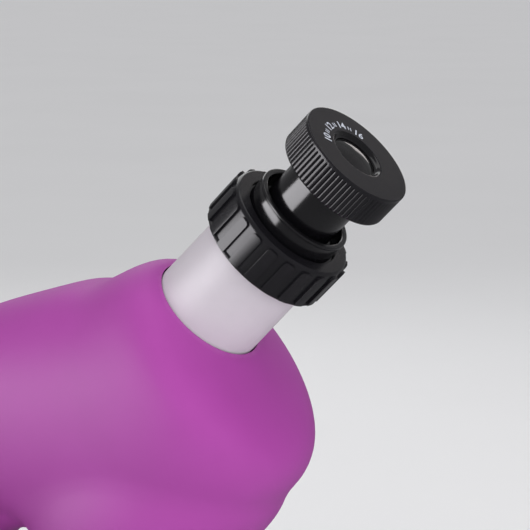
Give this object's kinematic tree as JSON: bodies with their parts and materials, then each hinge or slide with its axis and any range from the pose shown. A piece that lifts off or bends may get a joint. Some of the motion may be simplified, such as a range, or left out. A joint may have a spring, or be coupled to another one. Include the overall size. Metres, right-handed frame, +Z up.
{
  "type": "student microscope",
  "caption": "Upright student microscope: curved arm, inclined tube with a zoom eyepiece, turning nosepiece, focusing stage and lit base.",
  "frame": {"origin": "centre of the footprint, at the bottom of the feet", "axes": "+Z up, +X towards the user's side where the eyepiece points, +Y to the user's right-hand side seen from the arm"},
  "size_m": [0.2054, 0.1208, 0.289],
  "materials": {
    "purple_plastic": "satin",
    "black_plastic": "satin",
    "black_gloss": "gloss",
    "grey_tube": "matt",
    "steel": "brushed",
    "black_metal": "satin",
    "glass": "polished",
    "chrome": "polished",
    "brass": "satin",
    "white_plastic": "satin",
    "band_red": "gloss",
    "band_yellow": "gloss",
    "band_blue": "gloss",
    "white_ink": "matt",
    "rubber": "matt",
    "battery_label": "gloss",
    "board": "satin",
    "frosted_glass": "frosted"
  },
  "bodies": {
    "frame": {"arm_casing": "purple_plastic", "arm_rear_cover": "purple_plastic", "base_shell": "purple_plastic", "slide_rail": "black_metal", "shaft_bushings": "white_plastic", "nosepiece_base": "black_plastic", "nosepiece_screws": "steel", "turret_screw": "chrome", "detent_spring": "steel", "prism_holder": "black_plastic", "roof_prism": "glass", "eyepiece_tube": "grey_tube", "tube_screws": "steel", "eyepiece_socket": "black_plastic", "base_bottom_plate": "black_plastic", "bottom_screws": "steel", "battery_door": "black_plastic", "rubber_feet": "rubber", "battery_holder": "black_plastic", "batteries": "battery_label", "battery_contacts": "steel", "lamp_housing": "black_plastic", "led_board": "board", "led": "glass", "collector_lens": "frosted_glass", "arm_bolts": "steel", "rear_cover_screws": "steel", "switch_bezel": "black_plastic"},
    "nosepiece": {"turret": "black_plastic", "objective_4x": "chrome", "objective_10x": "chrome", "objective_40x": "chrome", "band_4x": "band_red", "band_10x": "band_yellow", "band_40x": "band_blue", "objective_lenses": "glass"},
    "focus_drive": {"focus_shaft": "steel", "focus_pinion": "brass", "focus_knob_left": "black_plastic", "focus_knob_right": "black_plastic"},
    "stage": {"stage_carrier": "black_metal", "focus_rack": "brass", "stage_plate": "black_metal", "stage_screws": "steel", "clip_screws": "chrome", "condenser_ring": "black_plastic", "condenser_lens": "glass", "diaphragm_screw": "chrome"},
    "clip_left": {"stage_clip_left": "steel"},
    "clip_right": {"stage_clip_right": "steel"},
    "diaphragm": {"diaphragm_disc": "black_plastic"},
    "zoom_ring": {"zoom_collar": "black_plastic"},
    "eyepiece": {"eyepiece_barrel": "black_gloss", "zoom_pin": "steel", "eyepiece_head": "black_plastic", "scale_marks": "white_ink", "eye_lens": "glass", "lens_retainer": "black_plastic", "field_lens": "glass"},
    "rocker": {"power_switch": "black_plastic"}
  },
  "joints": [
    {"name": "focus_turn", "type": "hinge", "parent": "frame", "child": "focus_drive", "pos_m": [-0.06652, 0, 0.078], "axis": [0, -1, 0], "range_deg": [-98.3, 20.5]},
    {"name": "stage_slide", "type": "slide", "parent": "frame", "child": "stage", "axis": [0, 0, 1], "range_m": [-0.012, 0.0025]},
    {"name": "nosepiece_turn", "type": "hinge", "parent": "frame", "child": "nosepiece", "pos_m": [0.00768, 0, 0.185], "axis": [0.2588, 0, -0.9659], "continuous": true},
    {"name": "collar_turn", "type": "hinge", "parent": "frame", "child": "zoom_ring", "pos_m": [0.03948, 0, 0.2258], "axis": [0.7071, 0, 0.7071], "range_deg": [0, 150]},
    {"name": "eyepiece_zoom", "type": "slide", "parent": "frame", "child": "eyepiece", "axis": [0.7071, 0, 0.7071], "range_m": [-0.0092, 0]},
    {"name": "clip_left_swing", "type": "hinge", "parent": "stage", "child": "clip_left", "pos_m": [-0.02432, 0.03, 0.0788], "axis": [0, 0, 1], "range_deg": [-8, 35]},
    {"name": "clip_right_swing", "type": "hinge", "parent": "stage", "child": "clip_right", "pos_m": [-0.02432, -0.03, 0.0788], "axis": [0, 0, 1], "range_deg": [-35, 8]},
    {"name": "diaphragm_turn", "type": "hinge", "parent": "stage", "child": "diaphragm", "pos_m": [0.02468, 0, 0.07], "axis": [0, 0, 1], "continuous": true},
    {"name": "switch_rock", "type": "hinge", "parent": "frame", "child": "rocker", "pos_m": [0.03868, 0, 0.0325], "axis": [0, 1, 0], "range_deg": [0, 14]}
  ],
  "couplings": [
    {"joint": "focus_turn", "follows": "stage_slide", "rad_per_m": 142.86},
    {"joint": "collar_turn", "follows": "eyepiece_zoom", "rad_per_m": -284.5}
  ]
}
